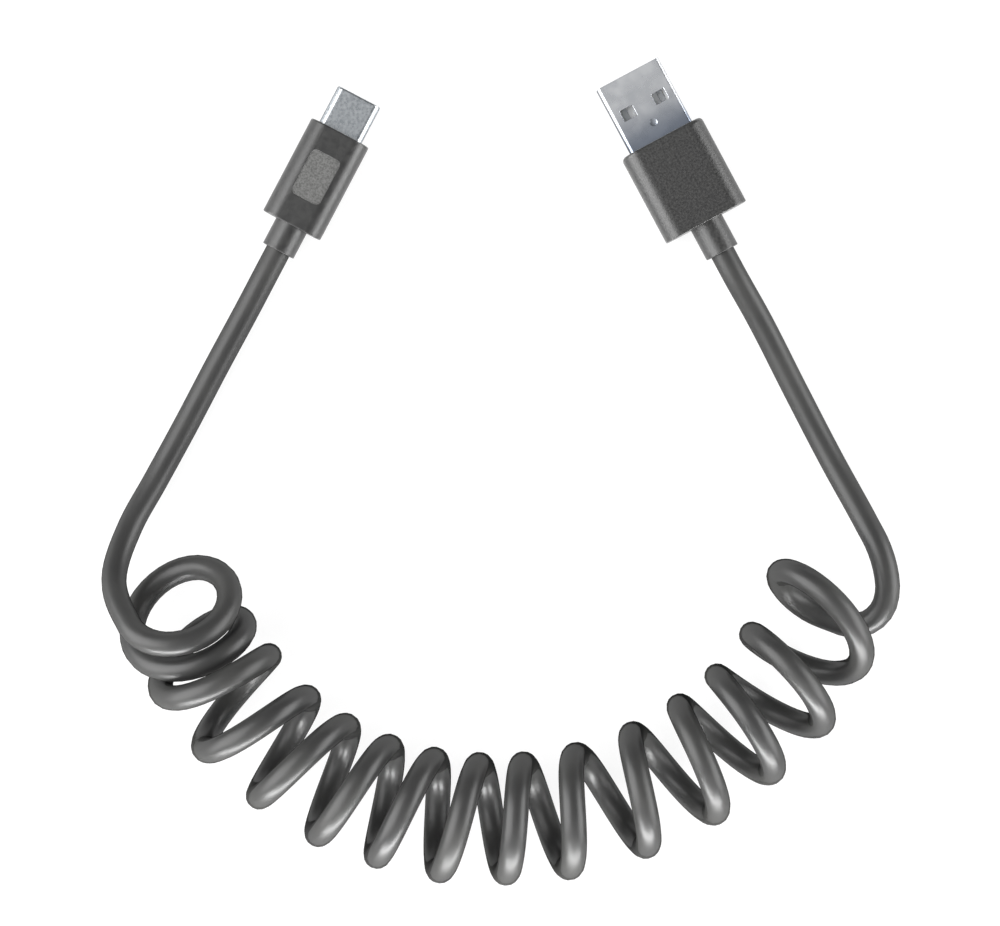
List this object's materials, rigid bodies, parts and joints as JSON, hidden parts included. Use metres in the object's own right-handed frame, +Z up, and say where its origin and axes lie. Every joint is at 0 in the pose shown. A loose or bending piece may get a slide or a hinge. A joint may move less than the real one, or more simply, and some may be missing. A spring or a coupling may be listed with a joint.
{
  "type": "coiled charging cable",
  "caption": "Coiled charging cable with an oval plug and a rectangular plug, each on a short straight lead from a springy curly cord laid in a wide U.",
  "frame": {"origin": "on the surface the cable lies on, under the middle of the box round the two plugs", "axes": "+X from the oval plug to the rectangular plug, +Z up, and the curly cord lies towards -Y"},
  "size_m": [0.138, 0.143, 0.0231],
  "materials": {
    "grip": "fine moulded grain, dark neutral grey, satin",
    "jacket": "smooth extruded cord jacket, dark neutral grey, soft sheen",
    "shell": "nickel-plated sheet steel, satin and bright at the round edges",
    "inner_metal": "plain bright sheet metal",
    "ferrule": "tinned brass ring",
    "contact": "gold-plated bronze strip",
    "black_plastic": "moulded black plastic",
    "white_plastic": "moulded white plastic",
    "inner_mould": "cloudy cast polyethylene",
    "board": "green solder mask",
    "wire_black": "extruded wire insulation",
    "wire_green": "extruded wire insulation",
    "wire_white": "extruded wire insulation",
    "wire_red": "extruded wire insulation"
  },
  "bodies": {
    "root": {"c_plug_overmould": "grip", "a_plug_overmould": "grip", "c_plug_jacket_end": "jacket", "a_plug_jacket_end": "jacket", "c_lead": "jacket", "coil": "jacket", "a_lead": "jacket", "c_plug_shell": "shell", "a_plug_shell": "shell", "c_plug_rear_shield": "inner_metal", "a_plug_rear_shield": "inner_metal", "c_plug_latch_left": "inner_metal", "c_plug_latch_right": "inner_metal", "c_plug_ground_spring_lower": "inner_metal", "c_plug_ground_spring_upper": "inner_metal", "c_plug_ferrule": "ferrule", "a_plug_ferrule": "ferrule", "c_plug_contact_upper_1": "contact", "c_plug_contact_upper_2": "contact", "c_plug_contact_upper_3": "contact", "c_plug_contact_upper_4": "contact", "c_plug_contact_upper_5": "contact", "c_plug_contact_upper_6": "contact", "c_plug_contact_upper_7": "contact", "c_plug_contact_lower_1": "contact", "c_plug_contact_lower_2": "contact", "c_plug_contact_lower_3": "contact", "c_plug_contact_lower_4": "contact", "a_plug_contact_1": "contact", "a_plug_contact_2": "contact", "a_plug_contact_3": "contact", "a_plug_contact_4": "contact", "c_plug_insulator": "black_plastic", "c_plug_resistor": "black_plastic", "a_plug_contact_carrier": "white_plastic", "c_plug_inner_mould": "inner_mould", "a_plug_inner_mould": "inner_mould", "c_plug_board": "board", "c_plug_wire_black": "wire_black", "a_plug_wire_black": "wire_black", "c_plug_wire_green": "wire_green", "a_plug_wire_green": "wire_green", "c_plug_wire_white": "wire_white", "a_plug_wire_white": "wire_white", "c_plug_wire_red": "wire_red", "a_plug_wire_red": "wire_red"}
  },
  "joints": []
}
